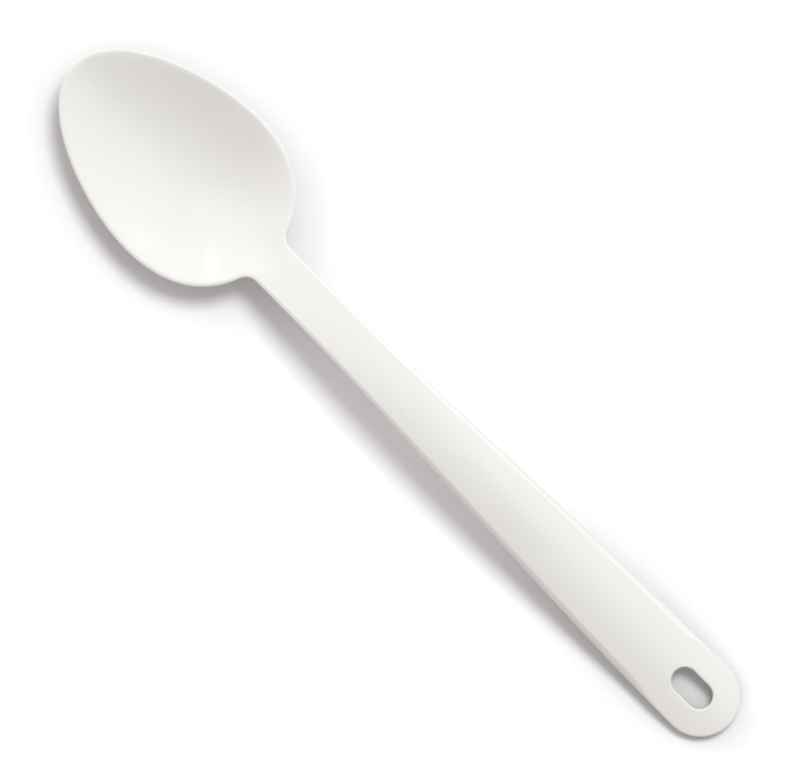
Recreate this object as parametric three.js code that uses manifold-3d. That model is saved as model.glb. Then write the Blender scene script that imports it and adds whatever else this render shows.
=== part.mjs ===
// A serving spoon moulded in one piece. An egg-shaped bowl flows through a filleted neck into an arched
// handle. The handle is a thin wall with rolled-down edges and an open back, and it ends in a flat pad
// with a hanging slot. The spoon lies on the underside of its bowl and on the end of its handle.
import * as THREE from "three";
import { mergeVertices } from "three/addons/utils/BufferGeometryUtils.js";
import Module from "manifold-3d";

const { clamp, inverseLerp, lerp, smoothstep } = THREE.MathUtils;

// Driving dimensions in millimetres. Places along the spoon are measured from the tip of the bowl,
// from the neck or from the end of the handle, as each name says.
const overallLength = 279.4;

// Bowl
const bowlLength = 82.5; // tip to neck, where the egg-shaped outline closes
const bowlMidWidth = 55.2; // width half-way along the egg
const bowlBackFullness = 0.222; // extra width of the back of the egg, as a share of the middle
const bowlEndFullness = 0.075; // extra width of both ends of the egg, as a share of the middle
const bowlDepth = 13; // rim to the lowest point of the inside
const bowlBottomFromTip = 54;
const bowlTipSlope = 0.4; // slope of the inside just behind the tip
const bowlSideFullness = -0.3; // bulge of the cross-section beyond a parabola, below 0 for straighter walls
const bowlWall = 2.25;
const bowlFadeBehindNeck = 6; // where the hollow has faded out on the neck
const rimLip = 0.95; // width of the rim, seen from above
const rimRound = 0.7; // drop of the rim's rounded outer edge
const rimHeight = 1.2; // height of the rim's edge
const rimRiseAtTip = 0.9;
const rimUndercut = 0.25; // flat under the rim before the outside of the bowl begins

// Neck
const neckWidth = 14.3;
const neckFilletFrom = 1.8; // how far before the neck the corner fillets leave the egg
const neckRise = 2.8; // edge of the neck above the rim
const neckSlope = 0.36;
const neckWall = 3.8;
const neckTransition = 22; // length over which the rim turns into the handle's side
const neckTransitionBefore = 7.3; // how much of it lies before the neck

// Handle
const archRise = 11; // top of the arch above the rim
const archFromNeck = 50;
const straightFromNeck = 108; // where the arch runs into the straight handle
const flareFromNeck = 42; // where the handle starts to widen steadily
const flareWidth = 15.2; // width there
const endWidth = 24.3; // width at the pad, which ends in a half circle
const handleWall = 2.5;
const handleSide = 4.8; // height of the handle's side
const sideWall = 2.3; // thickness of the rolled-down side at its lower edge
const crownAtEnd = 2.3; // the top is crowned across its width, fully where the handle is straight
const rollWidth = 2; // rolled edge seen from above, at its widest
const rollDrop = 1.8; // height of the rolled edge
const rollFlatness = 0.6; // 0 for a rolled edge that is round, 1 for a flat one with a crease
const channelFromNeck = 14; // where the open back begins
const channelFade = 18; // length over which it deepens
const channelSquareness = 8; // power of its cross-section, higher for sharper corners

// End pad and hanging slot
const padLength = 18.5; // flat stretch at the end of the handle
const padThickness = 2.8; // at its edge
const padEdgeWidth = 0.7; // rounded edge of the pad seen from above
const padEdgeDrop = 0.6;
const padRunOut = 13; // length over which the rolled edges run out and the back closes
const slotLength = 14.5;
const slotWidth = 8.1;
const slotFromEnd = 15.8; // end of the handle to the middle of the slot

// Fineness of the surface
const endGap = 0.03; // first and last sections lie this far inside the ends
const tipStretch = 10; // the outline turns quickly over this length behind the tip
const heelStretch = 12; // and over this length before the neck
const tipSections = 10;
const bowlSections = 20;
const heelSections = 16;
const filletSections = 14;
const handleSections = 24;
const padSections = 12;
const endSections = 12;
const stepsAcross = 16; // faces across the top and across the underside
const lipSteps = [0.3, 0.62, 0.88, 1]; // sections of a lip or a rolled edge, from its inside out
const slotArcSteps = 12;
const leastInnerShare = 1 / 3; // at the very ends the lip leaves at least this share of the width

// Places and heights that follow from the sizes above
const neck = bowlLength;
const padStart = overallLength - padLength;
const endRadius = endWidth / 2;
const rim = bowlDepth + bowlWall;
const arch = neck + archFromNeck;
const straight = neck + straightFromNeck;
const archHeight = rim + archRise;
const handleFall = (archHeight - padThickness) / ((straight - arch) / 2 + overallLength - straight);

// A smooth line through knots of place, value and slope. It runs straight on beyond its ends.
function fairLine(...knots) {
  return (x) => {
    const last = knots.findIndex((knot) => knot.at > x);
    if (last === 0) {
      return knots[0].value + knots[0].slope * (x - knots[0].at);
    }
    if (last < 0) {
      const end = knots[knots.length - 1];
      return end.value + end.slope * (x - end.at);
    }
    const from = knots[last - 1];
    const to = knots[last];
    const span = to.at - from.at;
    const t = (x - from.at) / span;
    const rise = t * t * (3 - 2 * t);
    const leave = t * (1 - t) * (1 - t) * span * from.slope;
    const arrive = t * t * (t - 1) * span * to.slope;
    return from.value + rise * (to.value - from.value) + leave + arrive;
  };
}

// Side view: the line along the edge of the bowl and of the handle
const edgeLine = fairLine(
  { at: 0, value: rim + rimRiseAtTip, slope: (-2 * rimRiseAtTip) / bowlBottomFromTip },
  { at: bowlBottomFromTip, value: rim, slope: 0 },
  { at: neck, value: rim + neckRise, slope: neckSlope },
  { at: arch, value: archHeight, slope: 0 },
  { at: straight, value: archHeight - (handleFall * (straight - arch)) / 2, slope: -handleFall },
);

// Side view: how far the middle of the bowl lies below its rim
const hollowLine = fairLine(
  { at: rimLip, value: 0, slope: bowlTipSlope },
  { at: bowlBottomFromTip, value: bowlDepth, slope: 0 },
  { at: neck + bowlFadeBehindNeck, value: 0, slope: 0 },
);

// Plan view: half the handle's width, before its end is rounded off
const flare = neck + flareFromNeck;
const roundFrom = overallLength - endRadius;
const handleWidthLine = fairLine(
  { at: neck, value: neckWidth / 2, slope: 0 },
  { at: flare, value: flareWidth / 2, slope: (endWidth - flareWidth) / 2 / (padStart - flare) },
  { at: roundFrom, value: endRadius, slope: 0 },
);

// Square root that keeps the sign, so that an outline runs on smoothly to negative widths
function signedRoot(value) {
  return Math.sign(value) * Math.sqrt(Math.abs(value));
}

// Plan view: half the width of the bowl's egg and the slope of its outline, drawn inset from the real one
function eggAt(x, inset) {
  const half = bowlLength / 2;
  const reach = half - inset;
  const place = (x - half) / reach;
  const widest = bowlMidWidth / 2 - inset;
  const fullness = 1 + bowlBackFullness * place + bowlEndFullness * place * place;
  const growth = bowlBackFullness + 2 * bowlEndFullness * place;
  const arc = signedRoot(1 - place * place);
  return {
    width: widest * fullness * arc,
    slope: (widest / reach) * (growth * arc - (fullness * place) / arc),
  };
}

// Plan view: the arc in the corner at the neck, which leaves the egg smoothly and ends along the handle
function neckFillet(inset) {
  const start = neck - neckFilletFrom - inset;
  const { width, slope } = eggAt(start, inset);
  const steepness = Math.hypot(1, slope);
  const radius = (width - (neckWidth / 2 - inset)) / (1 - 1 / steepness);
  const centre = start - (radius * slope) / steepness;
  return { start, radius, centre };
}

// Plan view: half the handle's width, rounded off to a half circle at the end
function handleHalfWidth(x, inset) {
  if (x <= roundFrom) {
    return handleWidthLine(x) - inset;
  }
  const radius = endRadius - inset;
  return signedRoot(radius * radius - (x - roundFrom) * (x - roundFrom));
}

function halfWidth(x, inset) {
  const { start, radius, centre } = neckFillet(inset);
  if (x <= start) {
    return eggAt(x, inset).width;
  }
  const before = Math.min(x - centre, 0);
  return handleHalfWidth(x, inset) + radius - signedRoot(radius * radius - before * before);
}

// 0 on the bowl, 1 on the handle
function onHandle(x) {
  const start = neck - neckTransitionBefore;
  return smoothstep(x, start, start + neckTransition);
}

// 0 on the handle, 1 on the pad
function onPad(x) {
  return smoothstep(x, padStart - padRunOut, padStart);
}

// Front view: depth of the bowl and of the handle's open back, from 1 in the middle to 0 at the side
function bowlSection(across) {
  const square = across * across;
  return (1 - square) * (1 + bowlSideFullness * square);
}

function channelSection(across) {
  return 1 - across ** channelSquareness;
}

// One closed cross-section of the spoon: over the top from left to right and back along the underside
function sectionAt(x) {
  const handle = onHandle(x);
  const pad = onPad(x);
  const along = clamp(inverseLerp(neck, padStart, x), 0, 1);
  const edge = edgeLine(x);
  const crown = crownAtEnd * smoothstep(x, neck, straight);

  // The rim's lip turns into the handle's rolled edge, which runs out on the pad.
  const lipWidth = lerp(lerp(rimLip, rollWidth, along), padEdgeWidth, pad);
  const lipDrop = lerp(lerp(rimRound, rollDrop, along), padEdgeDrop, pad);
  const flatness = rollFlatness * handle * (1 - pad);
  const outer = halfWidth(x, 0);
  const inner = halfWidth(x, lipWidth);
  const innerSquare = inner * Math.abs(inner);
  const topHalf = Math.max(inner, outer * leastInnerShare);
  const hollow = Math.max(hollowLine(x), 0);

  const topHeight = (y) => {
    const bulge = 1 - (y / handleWidthLine(x)) ** 2;
    const lip = Math.max((y * y - innerSquare) / (outer * outer - innerSquare), 0);
    const roll = lerp(1 - Math.sqrt(Math.max(1 - lip * lip, 0)), lip, flatness);
    return edge - hollow * bowlSection(Math.min(Math.abs(y) / topHalf, 1)) + crown * bulge - lipDrop * roll;
  };

  // Underside: the outside of the bowl, then the open back between the handle's two sides
  const taper = smoothstep(x, straight, padStart);
  const sideHeight = lerp(lerp(rimHeight, handleSide, handle), padThickness, taper);
  const lowEdge = edge - sideHeight;
  const channel = smoothstep(x, neck + channelFromNeck, neck + channelFromNeck + channelFade);
  const wall = lerp(lerp(bowlWall, neckWall, handle), handleWall, channel);
  const middle = edge + crown - hollowLine(x) - wall;
  const lowMiddle = x < rimLip ? Math.min(middle, lowEdge) : lerp(middle, lowEdge, pad);
  const lowLip = lerp(lerp(rimUndercut, sideWall, handle), padEdgeWidth, pad);
  const lowHalf = Math.max(halfWidth(x, lowLip), outer * leastInnerShare);

  const lowHeight = (across) => {
    const share = lerp(bowlSection(across), channelSection(across), channel);
    return lowEdge + (lowMiddle - lowEdge) * share;
  };

  const lipPlaces = lipSteps.map((step) => Math.sqrt(lerp(topHalf * topHalf, outer * outer, step)));
  const topPlaces = [...lipPlaces.map((y) => -y).reverse()];
  for (let k = 0; k <= stepsAcross; k++) {
    topPlaces.push(topHalf * (-1 + (2 * k) / stepsAcross));
  }
  topPlaces.push(...lipPlaces);
  const ring = topPlaces.map((y) => new THREE.Vector3(x, y, topHeight(y)));
  ring.push(new THREE.Vector3(x, outer, lowEdge));
  for (let k = 0; k <= stepsAcross + 1; k++) {
    const across = Math.sin(Math.PI * (0.5 - k / (stepsAcross + 1)));
    ring.push(new THREE.Vector3(x, lowHalf * across, lowHeight(across)));
  }
  ring.push(new THREE.Vector3(x, -outer, lowEdge));
  return ring;
}

// Places of the sections: close together where the outline turns quickly
function sectionPlaces() {
  const places = [];
  const stretch = (from, to, count, ease) => {
    for (let k = 0; k < count; k++) {
      places.push(lerp(from, to, ease(k / count)));
    }
  };
  const even = (t) => t;
  const slowStart = (t) => t * t;
  const slowEnd = (t) => t * (2 - t);
  const filletStart = neckFillet(0).start;
  const heelStart = neck - heelStretch;
  const neckEnd = neck + bowlFadeBehindNeck;
  const padBegin = padStart - padRunOut;
  stretch(endGap, tipStretch, tipSections, slowStart);
  stretch(tipStretch, heelStart, bowlSections, even);
  stretch(heelStart, filletStart, heelSections, even);
  stretch(filletStart, neckEnd, filletSections, slowStart);
  stretch(neckEnd, padBegin, handleSections, even);
  stretch(padBegin, roundFrom, padSections, even);
  stretch(roundFrom, overallLength - endGap, endSections, slowEnd);
  places.push(overallLength - endGap);
  return places;
}

// Skin over a row of closed sections, with a cap at each end
function loft(rings) {
  const around = rings[0].length;
  const vertices = rings.flat();
  const faces = [];
  for (let r = 0; r + 1 < rings.length; r++) {
    for (let k = 0; k < around; k++) {
      const here = r * around + k;
      const beside = r * around + ((k + 1) % around);
      faces.push(here, here + around, beside);
      faces.push(beside, here + around, beside + around);
    }
  }
  const cap = (ring, first, turn) => {
    const middle = ring.reduce((sum, point) => sum.add(point), new THREE.Vector3()).divideScalar(around);
    const centre = vertices.push(middle) - 1;
    for (let k = 0; k < around; k++) {
      const pair = [first + k, first + ((k + 1) % around)];
      faces.push(centre, ...(turn ? pair.reverse() : pair));
    }
  };
  cap(rings[0], 0, false);
  cap(rings[rings.length - 1], (rings.length - 1) * around, true);
  const geometry = new THREE.BufferGeometry().setFromPoints(vertices);
  geometry.setIndex(faces);
  return geometry;
}

// The hanging slot: two half circles joined by straight sides, cut straight through the pad
function slotCutter() {
  const radius = slotWidth / 2;
  const reach = slotLength / 2 - radius;
  const outline = new THREE.Shape();
  outline.absarc(reach, 0, radius, -Math.PI / 2, Math.PI / 2);
  outline.absarc(-reach, 0, radius, Math.PI / 2, (Math.PI * 3) / 2);
  const depth = archHeight;
  const options = { depth, bevelEnabled: false, curveSegments: slotArcSteps };
  const cutter = new THREE.ExtrudeGeometry(outline, options);
  cutter.translate(overallLength - slotFromEnd, 0, -depth / 2);
  return cutter;
}

const wasm = await Module();
wasm.setup();

function toSolid(geometry) {
  geometry.deleteAttribute("normal");
  geometry.deleteAttribute("uv");
  const merged = mergeVertices(geometry);
  const vertProperties = new Float32Array(merged.attributes.position.array);
  const triVerts = new Uint32Array(merged.index.array);
  return new wasm.Manifold(new wasm.Mesh({ numProp: 3, vertProperties, triVerts }));
}

function toGeometry(solid) {
  const mesh = solid.getMesh();
  const geometry = new THREE.BufferGeometry();
  geometry.setAttribute("position", new THREE.BufferAttribute(mesh.vertProperties, mesh.numProp));
  geometry.setIndex(new THREE.BufferAttribute(mesh.triVerts, 1));
  geometry.computeVertexNormals();
  return geometry;
}

const whitePlastic = new THREE.MeshStandardMaterial({ color: 0xf1efec, roughness: 0.28, metalness: 0 });

const blank = toSolid(loft(sectionPlaces().map(sectionAt)));
const spoon = new THREE.Mesh(toGeometry(blank.subtract(toSolid(slotCutter()))), whitePlastic);
spoon.name = "serving_spoon";
spoon.position.x = -overallLength / 2;

const part = new THREE.Group();
part.add(spoon);

export default part;
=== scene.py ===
# %% [markdown]
# # A white serving spoon
# The spoon is one moulding in glossy white plastic: an egg-shaped bowl, a filleted neck, an arched handle
# with rolled-down edges and an open back, and a flat pad with a hanging slot. It has no joints and no
# second piece, so the scene holds one visible mesh, one finish, a floor, seven lamps and a camera.
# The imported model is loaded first, because it fixes the size and the place of everything.

# %% Load the frame
import math
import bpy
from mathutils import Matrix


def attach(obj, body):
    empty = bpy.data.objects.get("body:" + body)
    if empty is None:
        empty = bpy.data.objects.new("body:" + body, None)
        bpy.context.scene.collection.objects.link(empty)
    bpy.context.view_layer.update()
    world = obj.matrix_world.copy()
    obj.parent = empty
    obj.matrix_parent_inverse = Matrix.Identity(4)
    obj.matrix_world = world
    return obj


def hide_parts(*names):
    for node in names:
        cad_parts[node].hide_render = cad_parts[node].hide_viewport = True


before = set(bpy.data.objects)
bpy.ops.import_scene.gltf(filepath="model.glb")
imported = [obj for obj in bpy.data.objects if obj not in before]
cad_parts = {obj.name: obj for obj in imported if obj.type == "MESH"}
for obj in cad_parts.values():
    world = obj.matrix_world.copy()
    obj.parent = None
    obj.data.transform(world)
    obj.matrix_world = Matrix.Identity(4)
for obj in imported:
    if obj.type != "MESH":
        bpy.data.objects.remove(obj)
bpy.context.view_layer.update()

from types import SimpleNamespace

import bmesh
import bpy

MM = 0.001

# %% [markdown]
# ## The sizes of the moulding
# A mould maker's drawing of a spoon holds a few dozen numbers. They are written here once, in millimetres,
# and each becomes a named input of the node tree below, so that anyone can change the spoon in the
# modifier panel. Places along the spoon are measured from the tip of the bowl, from the neck or from the
# end of the handle, as each name says. The second list holds the numbers that have no unit.

# %% Sizes of the moulding
LENGTHS = dict(
    overall_length=279.4,
    bowl_length=82.5,
    bowl_mid_width=55.2,
    bowl_depth=13,
    bowl_bottom_from_tip=54,
    bowl_wall=2.25,
    bowl_fade_behind_neck=6,
    rim_lip=0.95,
    rim_round=0.7,
    rim_inner_round=0.35,
    rim_height=1.2,
    rim_rise_at_tip=0.9,
    rim_undercut=0.25,
    rim_corner=0.2,
    neck_width=14.3,
    neck_fillet_from=1.8,
    neck_rise=2.8,
    neck_wall=3.8,
    neck_transition=22,
    arch_rise=11,
    arch_from_neck=50,
    straight_from_neck=108,
    flare_from_neck=42,
    flare_width=15.2,
    end_width=24.3,
    handle_wall=2.5,
    handle_side=4.8,
    side_wall=2.3,
    side_corner=0.6,
    crown_at_end=2.3,
    roll_width=2,
    roll_drop=1.8,
    channel_from_neck=14,
    channel_fade=18,
    pad_length=18.5,
    pad_thickness=2.8,
    pad_edge_width=0.7,
    pad_edge_drop=0.6,
    pad_run_out=13,
    slot_length=14.5,
    slot_width=8.1,
    slot_from_end=15.8,
    slot_round=0.6,
    slot_surround=2.6,
)
SHAPES = dict(
    bowl_back_fullness=0.222,
    bowl_end_fullness=0.075,
    bowl_tip_slope=0.4,
    bowl_side_fullness=-0.3,
    neck_slope=0.36,
    channel_squareness=8,
    channel_rounding=0.08,
    roll_flatness=0.6,
)
print(len(LENGTHS), "lengths and", len(SHAPES), "shape numbers")

# %% [markdown]
# ## Writing formulas as nodes
# Geometry Nodes can work out any formula with Math nodes, but a hundred of them are hard to place by hand.
# This small class stands for a value in the tree. Adding or multiplying two of them adds a Math node, so
# the shape of the spoon can be written below as ordinary arithmetic.


# %% Values that build Math nodes
class Number:
    def __init__(self, socket):
        self.socket = socket

    def __add__(self, other):
        return maths("ADD", self, other)

    def __radd__(self, other):
        return maths("ADD", other, self)

    def __sub__(self, other):
        return maths("SUBTRACT", self, other)

    def __rsub__(self, other):
        return maths("SUBTRACT", other, self)

    def __mul__(self, other):
        return maths("MULTIPLY", self, other)

    def __rmul__(self, other):
        return maths("MULTIPLY", other, self)

    def __truediv__(self, other):
        return maths("DIVIDE", self, other)

    def __rtruediv__(self, other):
        return maths("DIVIDE", other, self)

    def __pow__(self, other):
        return maths("POWER", self, other)


def plug(tree, values, sockets):
    for value, socket in zip(values, sockets):
        if isinstance(value, Number):
            tree.links.new(value.socket, socket)
        else:
            socket.default_value = value


def tree_of(values):
    return next(value.socket.id_data for value in values if isinstance(value, Number))


def maths(operation, *values):
    tree = tree_of(values)
    node = tree.nodes.new("ShaderNodeMath")
    node.operation = operation
    plug(tree, values, node.inputs)
    return Number(node.outputs[0])


def ramp(x, start, end, kind="LINEAR"):
    """0 up to start, 1 from end on, and an even or a smooth climb between them."""
    tree = tree_of((x, start, end))
    node = tree.nodes.new("ShaderNodeMapRange")
    node.interpolation_type = kind
    plug(tree, (x, start, end, 0.0, 1.0), node.inputs)
    return Number(node.outputs[0])


def smooth_ramp(x, start, end):
    return ramp(x, start, end, "SMOOTHSTEP")


def larger(a, b):
    return maths("MAXIMUM", a, b)


def smaller(a, b):
    return maths("MINIMUM", a, b)


def root(value):
    return maths("SQRT", value)


def above(a, b):
    return maths("GREATER_THAN", a, b)


def mix(a, b, share):
    return a + (b - a) * share


def signed_root(value):
    return maths("SIGN", value) * root(maths("ABSOLUTE", value))


def fair_line(x, *knots):
    """A smooth line through knots of place, value and slope. It runs straight on beyond its ends."""
    at, value, slope = knots[0]
    line = value + slope * smaller(x - at, 0.0)
    for (at, value, slope), (next_at, next_value, next_slope) in zip(knots, knots[1:]):
        t = ramp(x, at, next_at)
        line = line + t * t * (3 - 2 * t) * (next_value - value)
        line = line + t * (1 - t) * ((1 - t) * slope - t * next_slope) * (next_at - at)
    at, value, slope = knots[-1]
    return line + slope * larger(x - at, 0.0)


print("formulas can be written as nodes")

# %% [markdown]
# ## Plan view: the outline seen from above
# The bowl is an egg: an ellipse whose width is multiplied by a gentle curve, so that it is fullest towards
# the back. The handle is a line that widens steadily and ends in a half circle. Where the two meet, an arc
# leaves the egg along its outline and ends along the handle. The same outline, drawn inset, gives the inner
# edge of the rim and the inside of the rolled edges, so they follow it evenly.


# %% Plan view
def egg_at(size, x, inset):
    """Half the egg's width, and how fast it changes along the spoon."""
    half = size.bowl_length / 2
    place = (x - half) / (half - inset)
    fullness = 1 + size.bowl_back_fullness * place + size.bowl_end_fullness * place * place
    growth = size.bowl_back_fullness + 2 * size.bowl_end_fullness * place
    arc = signed_root(1 - place * place)
    widest = size.bowl_mid_width / 2 - inset
    slope = widest / (half - inset) * (growth * arc - fullness * place / arc)
    return widest * fullness * arc, slope


def neck_fillet(size, x, inset):
    """Where the fillet leaves the egg, and how far it stands out from the handle's edge at x."""
    start = size.neck - size.neck_fillet_from - inset
    width, slope = egg_at(size, start, inset)
    level = size.neck_width / 2 - inset
    steepness = root(1 + slope * slope)
    radius = (width - level) / (1 - 1 / steepness)
    centre = start - radius * slope / steepness
    back = smaller(x - centre, 0.0)
    return start, radius - root(larger(radius * radius - back * back, 0.0))


def handle_half_width(size, x):
    flare_slope = (size.end_width - size.flare_width) / 2 / (size.pad_start - size.flare)
    return fair_line(
        x,
        (size.neck, size.neck_width / 2, 0.0),
        (size.flare, size.flare_width / 2, flare_slope),
        (size.round_from, size.end_width / 2, 0.0),
    )


def half_width(size, x, inset, handle):
    bowl, _ = egg_at(size, x, inset)
    radius = size.end_width / 2 - inset
    past = x - size.round_from
    rounded = mix(handle - inset, signed_root(radius * radius - past * past), above(past, 0.0))
    fillet_start, fillet = neck_fillet(size, x, inset)
    return mix(bowl, rounded + fillet, above(x, fillet_start))


print("plan view: egg, fillets, flare and half circle")

# %% [markdown]
# ## Side view: the lines along the spoon
# One line follows the edge of the bowl and of the handle. It dips a little along the rim, climbs through
# the neck, arches, and then falls straight to the end of the handle, which touches the table. A second
# line gives the depth of the bowl. It falls from the tip to the deepest point, two thirds of the way to the
# neck, then climbs faster and fades out on the neck, which is a soft ramp rather than a wall.


# %% Side view
def edge_height(size, x):
    return fair_line(
        x,
        (0.0, size.rim + size.rim_rise_at_tip, -2 * size.rim_rise_at_tip / size.bowl_bottom_from_tip),
        (size.bowl_bottom_from_tip, size.rim, 0.0),
        (size.neck, size.rim + size.neck_rise, size.neck_slope),
        (size.arch, size.arch_height, 0.0),
        (size.straight, size.arch_height - size.fall * (size.straight - size.arch) / 2, -1 * size.fall),
    )


def hollow_depth(size, x):
    return fair_line(
        x,
        (size.rim_lip, 0.0, size.bowl_tip_slope),
        (size.bowl_bottom_from_tip, size.bowl_depth, 0.0),
        (size.neck + size.bowl_fade_behind_neck, 0.0, 0.0),
    )


print("side view: rim, arch, straight fall and bowl depth")

# %% [markdown]
# ## The grid that becomes the skin
# The skin starts as a flat grid of one-unit squares. One direction counts stations along the spoon, the
# other goes round the cross-section, from the middle of the underside over the top and back. Each stretch
# of the spoon gets the number of squares that its curves need: many at the neck and round the slot, few
# along the straight handle. Rows that follow the rim and the rolled edges keep those edges crisp.

# %% Squares of the grid
STATIONS = dict(tip=36, bowl=84, neck=72, handle=130, run_out=16, slot=48, end=28)
LOOP = dict(top=30, lip=8, side=2, corner=4, flange=4, under=36)
SLOT_SQUARES = 12  # from the slot's middle to its edge
SLOT_SHARE = 0.8  # share of the width that the squares of the slot and of its rings take
STRAIGHT_RING = 2.0  # the slot's edge is ring 1, and from this ring on the grid is straight
HALF_SQUARE = 0.5
TIP_SHARE = 1 / 8  # of the bowl's length, where the outline turns quickly
CLOSE_BEFORE_NECK = 2 / 3  # of the neck's transition, where the stations get close
station_count = sum(STATIONS.values())
half_loop = sum(LOOP.values())


def starts_of(counts):
    """First square of each named stretch."""
    starts, total = {}, 0
    for name, count in counts.items():
        starts[name] = total
        total += count
    return starts


station_start = starts_of(STATIONS)
loop_start = starts_of(LOOP)


def stretch(count, name, starts, counts):
    """How far a count has come through one stretch, from 0 to 1."""
    return ramp(count, float(starts[name]), float(starts[name] + counts[name]))


def station_place(size, station):
    """Distance from the tip of the bowl, with close stations at both ends."""
    ends = dict(
        tip=size.bowl_length * TIP_SHARE,
        bowl=size.neck - size.neck_transition * CLOSE_BEFORE_NECK,
        neck=size.neck + size.bowl_fade_behind_neck,
        handle=size.pad_start - size.pad_run_out,
        run_out=size.slot_middle - size.slot_reach,
        slot=size.slot_middle + size.slot_reach,
        end=size.overall_length,
    )
    place, last = 0.0, 0.0
    for name, end in ends.items():
        t = stretch(station, name, station_start, STATIONS)
        if name == "tip":
            t = t * t
        if name == "end":
            t = t * (2 - t)
        place = place + (end - last) * t
        last = end
    return place


print("grid of", station_count, "by", 2 * half_loop, "squares")

# %% [markdown]
# ## Room for the slot
# A hole could be cut with a Boolean, but that leaves ragged triangles and a knife-sharp edge on a glossy
# surface. Instead the grid makes room: a block of squares over the slot is taken out, and the rings of
# squares round it are bent from the slot's outline out to the straight grid. The slot's outline is two half
# circles joined by straight sides. A ray from its middle meets the straight side or the half circle,
# whichever is farther out.


# %% Room for the slot
def slot_outline(size, right, up):
    """Where a ray in the direction right and up, both positive, leaves the slot's outer edge."""
    tiny = 1e-7
    side = smaller(size.slot_edge / larger(up, tiny), size.slot_straight / larger(right, tiny))
    length = right * right + up * up
    reach = size.slot_straight * right
    inside = size.slot_edge * size.slot_edge - size.slot_straight * size.slot_straight
    cap = (reach + root(reach * reach + length * inside)) / length
    far = larger(side, cap)
    return far * right, far * up


def slot_rings(size, station, loop):
    """Bends the grid round the slot, from the slot's edge out to the straight grid."""
    middle = station_start["slot"] + STATIONS["slot"] / 2
    along = (station - middle) / SLOT_SQUARES
    across = smaller(loop, half_loop - loop) / SLOT_SQUARES
    ring = larger(larger(maths("ABSOLUTE", along), across), 1.0)
    right = maths("ABSOLUTE", along) / ring * (size.slot_edge + size.slot_straight)
    out_x, out_y = slot_outline(size, right, across / ring * size.slot_edge)
    return SimpleNamespace(
        along=along,
        across=across,
        spread=larger(STRAIGHT_RING / ring, 1.0),
        straight=ramp(ring, 1.0, STRAIGHT_RING),
        edge_x=size.slot_middle + maths("SIGN", along) * out_x,
        edge_y=out_y,
    )


print("squares from the slot's middle to its edge:", SLOT_SQUARES)

# %% [markdown]
# ## Front view: one cross-section
# Going round half a cross-section from the middle of the top: the hollow of the bowl or the crown of the
# handle, the rim's lip or the rolled edge, the side, a rounded lower corner, a narrow flat, and the underside
# up to its middle. The underside is the outside of the bowl at one end of the spoon and the open back of the
# handle at the other. Every size blends from its value on the bowl to its value on the handle and on to its
# value on the pad, so the moulding has no seam anywhere.


# %% Cross-section
BEFORE_NECK = 1 / 3  # share of the neck's transition that lies on the bowl
LEAST_INNER_SHARE = 1 / 3  # at the very ends the lip leaves at least this share of the width
LARGEST_CORNER_SHARE = 0.4  # and the lower corner takes at most this share


def section_sizes(size, x):
    transition_start = size.neck - size.neck_transition * BEFORE_NECK
    transition_end = size.neck + size.neck_transition * (1 - BEFORE_NECK)
    on_handle = smooth_ramp(x, transition_start, transition_end)
    on_pad = smooth_ramp(x, size.pad_start - size.pad_run_out, size.pad_start)
    along = ramp(x, size.neck, size.pad_start)
    taper = smooth_ramp(x, size.straight, size.pad_start)
    channel_start = size.neck + size.channel_from_neck
    channel = smooth_ramp(x, channel_start, channel_start + size.channel_fade)

    def along_spoon(on_bowl, on_the_handle, on_the_pad, share):
        return mix(mix(on_bowl, on_the_handle, share), on_the_pad, on_pad)

    part = SimpleNamespace(channel=channel)
    part.flatness = size.roll_flatness * on_handle * (1 - on_pad)
    part.handle = handle_half_width(size, x)
    part.outer = half_width(size, x, 0.0, part.handle)
    lip_width = along_spoon(size.rim_lip, size.roll_width, size.pad_edge_width, along)
    part.inner = half_width(size, x, lip_width, part.handle)
    least_inner = part.outer * LEAST_INNER_SHARE
    part.top_half = larger(part.inner, least_inner)
    part.lip_drop = along_spoon(size.rim_round, size.roll_drop, size.pad_edge_drop, along)
    low_lip = along_spoon(size.rim_undercut, size.side_wall, size.pad_edge_width, on_handle)
    part.low_half = larger(half_width(size, x, low_lip, part.handle), least_inner)
    corner = mix(size.rim_corner, size.side_corner, on_handle)
    part.corner = smaller(corner, part.outer * LARGEST_CORNER_SHARE)
    part.edge = edge_height(size, x)
    part.crown = size.crown_at_end * smooth_ramp(x, size.neck, size.straight)
    part.hollow = hollow_depth(size, x)
    side_height = mix(mix(size.rim_height, size.handle_side, on_handle), size.pad_thickness, taper)
    part.low_edge = part.edge - side_height
    wall = mix(mix(size.bowl_wall, size.neck_wall, on_handle), size.handle_wall, channel)
    middle = part.edge + part.crown - part.hollow - wall
    tip_middle = smaller(middle, part.low_edge)
    part.low_middle = mix(tip_middle, mix(middle, part.low_edge, on_pad), above(x, size.rim_lip))
    return part


def bowl_section(size, across):
    square = across * across
    return (1 - square) * (1 + size.bowl_side_fullness * square)


def top_height(size, part, y):
    """Height of the top: hollow of the bowl, crown of the handle, and the rounded lip or rolled edge."""
    depth = larger(part.hollow, 0.0) * bowl_section(size, smaller(y / part.top_half, 1.0))
    eased = depth * depth / (depth + size.rim_inner_round) * (1 + size.rim_inner_round / size.bowl_depth)
    bulge = 1 - (y / part.handle) * (y / part.handle)
    inner_square = part.inner * maths("ABSOLUTE", part.inner)
    lip = larger((y * y - inner_square) / (part.outer * part.outer - inner_square), 0.0)
    roll = mix(1 - root(larger(1 - lip * lip, 0.0)), lip, part.flatness)
    return part.edge - eased + part.crown * bulge - part.lip_drop * roll


def underside_share(size, part, across):
    """0 at the sides and 1 in the middle of the underside, for the bowl and for the handle's open back."""
    square = 1 - across ** size.channel_squareness
    open_back = (1 + size.channel_rounding) * square * square / (square + size.channel_rounding)
    return mix(bowl_section(size, across), open_back, part.channel)


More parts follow.
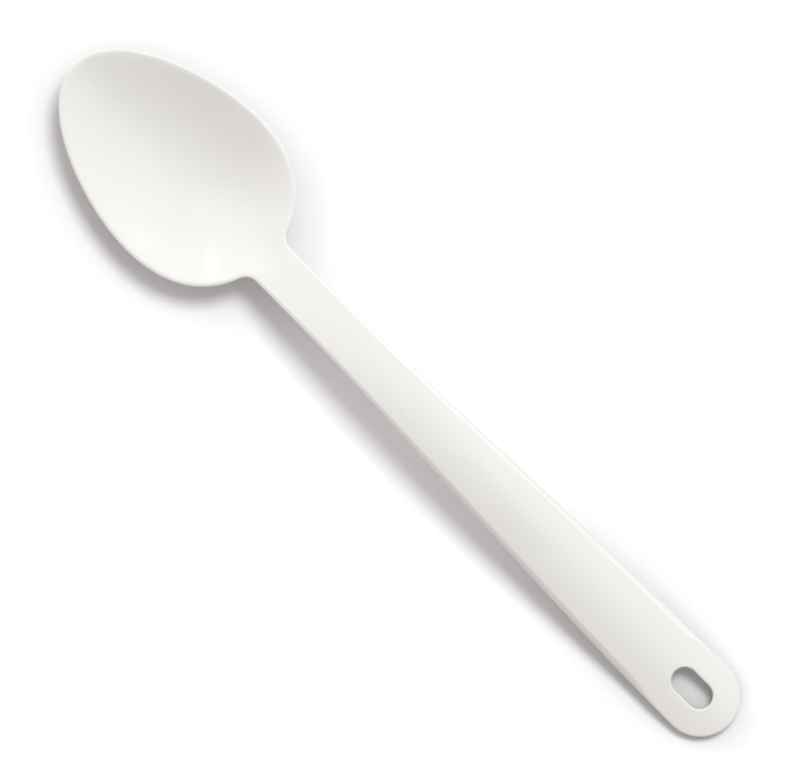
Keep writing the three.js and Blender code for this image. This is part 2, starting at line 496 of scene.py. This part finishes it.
print("cross-section: top, lip, side, corner, flat and underside")

# %% [markdown]
# ## From the grid to the skin
# Every corner of the grid now gets its place: the station says how far along the spoon it is, and the count
# round the loop says where on the cross-section. The left half is the mirror image of the right.


# %% Places of the skin's corners
def skin_place(size, station, signed_loop):
    loop = maths("ABSOLUTE", signed_loop)
    rings = slot_rings(size, station, loop)
    regular = station_place(size, station)
    spread_place = size.slot_middle + (regular - size.slot_middle) * rings.spread
    x = mix(rings.edge_x, spread_place, rings.straight)
    part = section_sizes(size, x)

    def done(name):
        return stretch(loop, name, loop_start, LOOP)

    quarter = math.pi / 2
    slot_loop = STRAIGHT_RING * SLOT_SQUARES
    edge_step = ramp(loop, slot_loop, float(LOOP["top"]))
    on_top = SLOT_SHARE * ramp(loop, 0.0, slot_loop) + (1 - SLOT_SHARE) * edge_step * (2 - edge_step)
    from_under = half_loop - loop
    on_under = SLOT_SHARE * ramp(from_under, 0.0, slot_loop)
    on_under = on_under + (1 - SLOT_SHARE) * ramp(from_under, slot_loop, float(LOOP["under"]))
    under = above(loop, loop_start["under"] - HALF_SQUARE)

    share = smaller(mix(on_top, on_under, under) * rings.spread, 1.0)
    inside = mix(rings.edge_y, mix(part.top_half, part.low_half, under) * share, rings.straight)
    top_square = part.top_half * part.top_half
    lip_place = root(mix(top_square, part.outer * part.outer, maths("SINE", done("lip") * quarter)))
    y_top = inside + lip_place - part.top_half
    turned_in = part.corner * (1 - maths("COSINE", done("corner") * quarter))
    flange = done("flange")
    flat = (part.outer - part.corner - part.low_half) * flange * flange * (3 - 2 * flange)
    y = mix(y_top - turned_in - flat, inside, under)

    z = mix(top_height(size, part, y_top), part.low_edge + part.corner, done("side"))
    z = z - part.corner * maths("SINE", done("corner") * quarter)
    rise = (part.low_middle - part.low_edge) * underside_share(size, part, y / part.low_half)
    z = z + under * rise
    between_ends = above(station, HALF_SQUARE) * above(station_count - HALF_SQUARE, station)
    y = y * maths("SIGN", signed_loop) * between_ends
    centred = x - size.overall_length / 2
    return SimpleNamespace(x=centred, y=y, z=z, low=part.low_edge + rise, rings=rings)


print("each corner of the grid has a place")

# %% [markdown]
# ## The node tree
# The tree makes the grid, moves its corners, takes out the block over the slot, closes the seams by merging
# the corners that fall together, and grows the slot's wall from its upper edge down to its lower edge. Each
# step of the wall extrudes the row before it, first round the upper edge, then straight down, then round the
# lower edge, where it meets the underside.


# %% Tree helpers
def add_sizes(tree):
    """Named inputs for every size, and the places and heights that follow from them."""
    sockets = {}
    for name, value in {**LENGTHS, **SHAPES}.items():
        title = name.replace("_", " ").title()
        socket = tree.interface.new_socket(name=title, in_out="INPUT", socket_type="NodeSocketFloat")
        if name in LENGTHS:
            socket.subtype = "DISTANCE"
        sockets[name] = socket
    source = tree.nodes.new("NodeGroupInput")
    size = SimpleNamespace(**{name: Number(source.outputs[s.name]) for name, s in sockets.items()})
    size.neck = size.bowl_length
    size.rim = size.bowl_depth + size.bowl_wall
    size.arch = size.neck + size.arch_from_neck
    size.straight = size.neck + size.straight_from_neck
    size.flare = size.neck + size.flare_from_neck
    size.pad_start = size.overall_length - size.pad_length
    size.round_from = size.overall_length - size.end_width / 2
    size.arch_height = size.rim + size.arch_rise
    run = (size.straight - size.arch) / 2 + size.overall_length - size.straight
    size.fall = (size.arch_height - size.pad_thickness) / run
    size.slot_middle = size.overall_length - size.slot_from_end
    size.slot_straight = (size.slot_length - size.slot_width) / 2
    size.slot_edge = size.slot_width / 2 + size.slot_round
    size.slot_reach = size.slot_straight + size.slot_edge + size.slot_surround
    return size, sockets


def add_node(tree, kind, *plugs, **settings):
    """A node with its first inputs plugged in order. None leaves an input as it is."""
    node = tree.nodes.new(kind)
    for name, value in settings.items():
        setattr(node, name, value)
    for value, socket in zip(plugs, node.inputs):
        if isinstance(value, bpy.types.NodeSocket):
            tree.links.new(value, socket)
        elif value is not None:
            socket.default_value = value
    return node


def vector(tree, x, y, z):
    node = tree.nodes.new("ShaderNodeCombineXYZ")
    plug(tree, (x, y, z), node.inputs)
    return node.outputs[0]


def parts_of(tree, vector_socket):
    node = add_node(tree, "ShaderNodeSeparateXYZ", vector_socket)
    return [Number(socket) for socket in node.outputs]


print("tree helpers ready")


# %% The spoon's node tree
def capture(tree, mesh, **values):
    """Keeps values on the corners, so that they stay known after the corners move."""
    node = tree.nodes.new("GeometryNodeCaptureAttribute")
    tree.links.new(mesh, node.inputs[0])
    kept = SimpleNamespace()
    for name, value in values.items():
        node.capture_items.new("VECTOR" if not isinstance(value, Number) else "FLOAT", name)
        socket = value.socket if isinstance(value, Number) else value
        tree.links.new(socket, node.inputs[name])
        output = node.outputs[name]
        setattr(kept, name, Number(output) if isinstance(value, Number) else output)
    return node.outputs[0], kept


SLOT_ROUND_STEPS = 4


def grow_slot_wall(tree, size, mesh, kept):
    """Extrudes the slot's upper edge row by row, down to its lower edge."""
    position = tree.nodes.new("GeometryNodeInputPosition").outputs[0]
    mesh, start = capture(tree, mesh, place=position)
    x, y, z = parts_of(tree, start.place)
    from_middle = x + size.overall_length / 2 - size.slot_middle
    foot = smaller(larger(from_middle, -1 * size.slot_straight), size.slot_straight)
    out_x = (from_middle - foot) / size.slot_edge
    out_y = y / size.slot_edge
    radius = size.slot_width / 2

    def row(widened, height):
        reach = radius + size.slot_round * widened
        place_x = foot + out_x * reach + size.slot_middle - size.overall_length / 2
        return vector(tree, place_x, out_y * reach, height)

    rows = []
    for step in range(1, SLOT_ROUND_STEPS + 1):
        turn = step / SLOT_ROUND_STEPS * math.pi / 2
        rows.append(row(1 - math.sin(turn), z - size.slot_round * (1 - math.cos(turn))))
    for step in range(SLOT_ROUND_STEPS + 1):
        turn = step / SLOT_ROUND_STEPS * math.pi / 2
        rows.append(row(1 - math.cos(turn), kept.low + size.slot_round * (1 - math.sin(turn))))

    neighbours = Number(tree.nodes.new("GeometryNodeInputMeshEdgeNeighbors").outputs[0])
    open_edge = maths("LESS_THAN", neighbours, 2.0)
    upper = maths("LESS_THAN", kept.loop, loop_start["lip"] + HALF_SQUARE)
    selection = (open_edge * upper).socket
    for place in rows:
        extrude = add_node(tree, "GeometryNodeExtrudeMesh", mesh, selection, mode="EDGES")
        extrude.inputs["Offset Scale"].default_value = 0.0
        selection = extrude.outputs["Top"]
        mesh = add_node(tree, "GeometryNodeSetPosition", extrude.outputs[0], selection, place).outputs[0]
    return mesh


MERGE = 0.001 * MM


def spoon_tree(finish):
    tree = bpy.data.node_groups.new("moulded_spoon", "GeometryNodeTree")
    tree.is_modifier = True
    tree.interface.new_socket(name="Geometry", in_out="OUTPUT", socket_type="NodeSocketGeometry")
    size, sockets = add_sizes(tree)
    squares = (float(station_count), 2.0 * half_loop, station_count + 1, 2 * half_loop + 1)
    mesh = add_node(tree, "GeometryNodeMeshGrid", *squares).outputs[0]
    column, row, _ = parts_of(tree, tree.nodes.new("GeometryNodeInputPosition").outputs[0])
    station = column + station_count / 2
    place = skin_place(size, station, row)
    rings = place.rings
    mesh, kept = capture(
        tree, mesh, along=rings.along, across=rings.across, low=place.low, loop=maths("ABSOLUTE", row)
    )
    position = vector(tree, place.x, place.y, place.z)
    mesh = add_node(tree, "GeometryNodeSetPosition", mesh, None, position).outputs[0]
    in_block = larger(maths("ABSOLUTE", kept.along), kept.across)
    over_slot = maths("LESS_THAN", in_block, 1.0).socket
    mesh = add_node(tree, "GeometryNodeDeleteGeometry", mesh, over_slot, domain="FACE").outputs[0]
    mesh = add_node(tree, "GeometryNodeMergeByDistance", mesh, None, MERGE).outputs[0]
    mesh = grow_slot_wall(tree, size, mesh, kept)
    mesh = add_node(tree, "GeometryNodeMergeByDistance", mesh, None, MERGE).outputs[0]
    mesh = add_node(tree, "GeometryNodeSetShadeSmooth", mesh).outputs[0]
    mesh = add_node(tree, "GeometryNodeRealizeInstances", mesh).outputs[0]
    mesh = add_node(tree, "GeometryNodeSetMaterial", mesh, None, finish).outputs[0]
    tree.links.new(mesh, tree.nodes.new("NodeGroupOutput").inputs[0])
    return tree, sockets


print("the tree can be built")

# %% [markdown]
# ## The finish: polished white plastic
# The real surface is a polished moulding: almost white, slightly warm, and glossy, with soft reflections.
# Looked at closely it is never perfect. The melt leaves faint clouds in the colour, the polished mould leaves
# a very fine ripple, and use dulls the gloss in patches. All of this is made from noise on Object
# coordinates, so it sits still on the spoon from every side.


# %% White plastic
PLASTIC_IOR = 1.55
WARM_WHITE = (0.818, 0.812, 0.792, 1.0)
CLOUD_WHITE = (0.826, 0.821, 0.802, 1.0)
CLOUDS = dict(scale=22.0, detail=3.0)
CLOUD_LIMITS = (0.2, 0.8)
POLISHED = 0.2
DULLED = 0.25
DULL_PATCHES = dict(scale=160.0, detail=3.0, roughness=0.6)
DULL_LIMITS = (0.3, 0.8)
RIPPLE = dict(scale=900.0, detail=2.0)
RIPPLE_STRENGTH = 0.12
RIPPLE_HEIGHT = 0.02 * MM


def blend(tree, first, second, share):
    """A colour between two others. Each is four numbers or an output of another node."""
    node = tree.nodes.new("ShaderNodeMix")
    node.data_type = "RGBA"
    for colour, socket in ((first, node.inputs["A"]), (second, node.inputs["B"])):
        if isinstance(colour, bpy.types.NodeSocket):
            tree.links.new(colour, socket)
        else:
            socket.default_value = colour
    tree.links.new(share.socket, node.inputs["Factor"])
    return node.outputs["Result"]


def white_plastic():
    material = bpy.data.materials.new("white_plastic")
    material.use_nodes = True
    tree = material.node_tree
    shader = tree.nodes["Principled BSDF"]
    shader.inputs["IOR"].default_value = PLASTIC_IOR
    place = tree.nodes.new("ShaderNodeTexCoord").outputs["Object"]

    def noise(scale, detail, roughness=0.5):
        node = tree.nodes.new("ShaderNodeTexNoise")
        tree.links.new(place, node.inputs["Vector"])
        node.inputs["Scale"].default_value = scale
        node.inputs["Detail"].default_value = detail
        node.inputs["Roughness"].default_value = roughness
        return Number(node.outputs["Fac"])

    clouds = smooth_ramp(noise(**CLOUDS), *CLOUD_LIMITS)
    tree.links.new(blend(tree, WARM_WHITE, CLOUD_WHITE, clouds), shader.inputs["Base Color"])

    dulling = smooth_ramp(noise(**DULL_PATCHES), *DULL_LIMITS)
    tree.links.new(mix(POLISHED, DULLED, dulling).socket, shader.inputs["Roughness"])

    ripple = noise(**RIPPLE)
    bump = tree.nodes.new("ShaderNodeBump")
    bump.inputs["Strength"].default_value = RIPPLE_STRENGTH
    bump.inputs["Distance"].default_value = RIPPLE_HEIGHT
    tree.links.new(ripple.socket, bump.inputs["Height"])
    tree.links.new(bump.outputs["Normal"], shader.inputs["Normal"])
    return material


finish = white_plastic()
print("finish:", finish.name)

# %% [markdown]
# ## Making the mesh
# The tree goes onto an empty mesh as a modifier, its inputs are set by their identifiers, and the evaluated
# result becomes a plain mesh. The modifier then goes, because a piece is handed over as plain geometry.

# %% The spoon
CUBIC_CM = (10 * MM) ** 3


def make_spoon():
    tree, sockets = spoon_tree(finish)
    seed = bpy.data.objects.new("spoon_seed", bpy.data.meshes.new("spoon_seed"))
    bpy.context.scene.collection.objects.link(seed)
    modifier = seed.modifiers.new("moulded_spoon", "NODES")
    modifier.node_group = tree
    for name, value in LENGTHS.items():
        modifier[sockets[name].identifier] = value * MM
    for name, value in SHAPES.items():
        modifier[sockets[name].identifier] = float(value)
    evaluated = seed.evaluated_get(bpy.context.evaluated_depsgraph_get())
    mesh = bpy.data.meshes.new_from_object(evaluated)
    bpy.data.objects.remove(seed)
    mesh.name = "spoon_skin"
    work = bmesh.new()
    work.from_mesh(mesh)
    bmesh.ops.recalc_face_normals(work, faces=work.faces)
    open_edges = sum(1 for edge in work.edges if not edge.is_manifold)
    print("volume in cm3:", round(work.calc_volume() / CUBIC_CM, 2), "open edges:", open_edges)
    work.to_mesh(mesh)
    work.free()
    mesh.calc_loop_triangles()
    print("spoon skin:", len(mesh.vertices), "corners,", len(mesh.loop_triangles), "triangles")
    spoon = bpy.data.objects.new("spoon_skin", mesh)
    bpy.context.scene.collection.objects.link(spoon)
    return spoon


spoon = make_spoon()
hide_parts("serving_spoon")
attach(spoon, "root")

# %% [markdown]
# ## Floor, light and camera
# The spoon lies on a plain floor. The camera sees it white, but the light that it throws back is that of a
# greyer one, so that the spoon keeps its shading. Close to the spoon a painted shade, made with ambient
# occlusion, darkens the floor's colour on top of the shadows that the lamps cast.
#
# A distant key lamp, high over the far side, makes the shadow. Four wide softboxes shape the round forms, a
# weak warm lamp is the light that comes back from the near side, and a small window leaves the bright spot
# in the heel of the bowl. Lamps that would show as blobs in the gloss are kept out of reflections, and the
# surroundings fill in the rest. The picture was taken from straight above with a long lens, turned so that
# the spoon lies from corner to corner.

# %% Floor
FLOOR_SIZE = 4.0
FLOOR_COLOUR = (0.75, 0.75, 0.75, 1.0)
FLOOR_SEEN = (1.045, 1.05, 1.06, 1.0)
# Painted shade: the floor's colour where it is fully occluded, and how far the occlusion reaches.
FLOOR_PAINTED_SHADE = (0.5, 0.5, 0.505, 1.0)
PAINTED_SHADE_REACH = 22 * MM


def make_floor():
    half = FLOOR_SIZE / 2
    mesh = bpy.data.meshes.new("floor")
    corners = [(-half, -half, 0), (half, -half, 0), (half, half, 0), (-half, half, 0)]
    mesh.from_pydata(corners, [], [(0, 1, 2, 3)])
    material = bpy.data.materials.new("floor_white")
    material.use_nodes = True
    tree = material.node_tree
    # Painted shade: ambient occlusion darkens the floor's colour where the spoon comes near.
    painted_shade = add_node(tree, "ShaderNodeAmbientOcclusion", None, PAINTED_SHADE_REACH)
    seen = blend(tree, FLOOR_PAINTED_SHADE, FLOOR_SEEN, Number(painted_shade.outputs["AO"]))
    camera_ray = tree.nodes.new("ShaderNodeLightPath").outputs["Is Camera Ray"]
    paint = add_node(tree, "ShaderNodeBsdfDiffuse", blend(tree, FLOOR_COLOUR, seen, Number(camera_ray)))
    tree.links.new(paint.outputs[0], tree.nodes["Material Output"].inputs["Surface"])
    mesh.materials.append(material)
    floor = bpy.data.objects.new("floor", mesh)
    bpy.context.scene.collection.objects.link(floor)
    return floor


floor = make_floor()
print("floor", FLOOR_SIZE, "m square at z = 0")

# %% Light
FILL_LEVEL = 0.27
FILL_TINT = (1.0, 0.94, 0.945, 1.0)
BACKDROP_LEVEL = 1.0
BACKDROP_WHITE = (1.0, 1.0, 1.0, 1.0)
LAMP_TINT = (0.96, 1.0, 0.975)
BOUNCE_TINT = (1.0, 0.45, 0.58)
LAMPS = dict(
    key=dict(tilt=22.0, turn=15.0, spread=18.0, level=0.5, mirrored=False),
    overhead_softbox=dict(tilt=30.0, turn=90.0, spread=60.0, level=0.05),
    right_softbox=dict(tilt=55.0, turn=-45.0, spread=70.0, level=0.085),
    far_softbox=dict(tilt=86.0, turn=0.0, spread=30.0, level=0.012),
    left_softbox=dict(tilt=80.0, turn=90.0, spread=60.0, level=0.075, mirrored=False),
    bounce=dict(tilt=65.0, turn=180.0, spread=60.0, level=0.035, mirrored=False, tint=BOUNCE_TINT),
    window=dict(tilt=73.0, turn=58.0, spread=6.0, level=0.004),
)


def add_lamp(name, tilt, turn, spread, level, mirrored=True, tint=LAMP_TINT):
    """A distant lamp, tilted from overhead and turned from +Y towards -X. level is what the floor gets."""
    lamp = bpy.data.lights.new(name, "SUN")
    lamp.energy = level * math.pi / math.cos(math.radians(tilt))
    lamp.angle = math.radians(spread)
    lamp.color = tint
    holder = bpy.data.objects.new(name, lamp)
    holder.rotation_euler = (math.radians(-tilt), 0.0, math.radians(turn))
    holder.visible_glossy = mirrored
    bpy.context.scene.collection.objects.link(holder)


def make_surroundings():
    world = bpy.data.worlds.new("surroundings")
    bpy.context.scene.world = world
    world.use_nodes = True
    tree = world.node_tree
    background = tree.nodes["Background"]
    path = tree.nodes.new("ShaderNodeLightPath")
    seen = Number(path.outputs["Is Camera Ray"])
    for name in ("Is Glossy Ray", "Is Transmission Ray"):
        seen = larger(seen, Number(path.outputs[name]))
    tree.links.new(blend(tree, FILL_TINT, BACKDROP_WHITE, seen), background.inputs["Color"])
    tree.links.new(mix(FILL_LEVEL, BACKDROP_LEVEL, seen).socket, background.inputs["Strength"])


for name, lamp in LAMPS.items():
    add_lamp(name, **lamp)
make_surroundings()
print("lamps:", ", ".join(LAMPS), "and surroundings at", FILL_LEVEL)

# %% Camera
SENSOR_WIDTH = 36.0
PICTURE_WIDTH = 800  # pixels
PICTURE_SCALE = 0.29985 * MM  # size of a pixel on the spoon
CAMERA_HEIGHT = 4.0
SPOON_MID_HEIGHT = 12 * MM
PICTURE_MIDDLE = (-1.46 * MM, 0.70 * MM)
CAMERA_TURN = 45.32


def make_camera():
    data = bpy.data.cameras.new("camera")
    data.sensor_width = SENSOR_WIDTH
    data.lens = SENSOR_WIDTH * CAMERA_HEIGHT / (PICTURE_WIDTH * PICTURE_SCALE)
    camera = bpy.data.objects.new("camera", data)
    camera.location = (*PICTURE_MIDDLE, CAMERA_HEIGHT + SPOON_MID_HEIGHT)
    camera.rotation_euler = (0.0, 0.0, math.radians(CAMERA_TURN))
    bpy.context.scene.collection.objects.link(camera)
    bpy.context.scene.camera = camera
    return data.lens


lens = make_camera()
bpy.context.scene.view_settings.view_transform = "Standard"
print("camera lens in mm:", round(lens, 1))
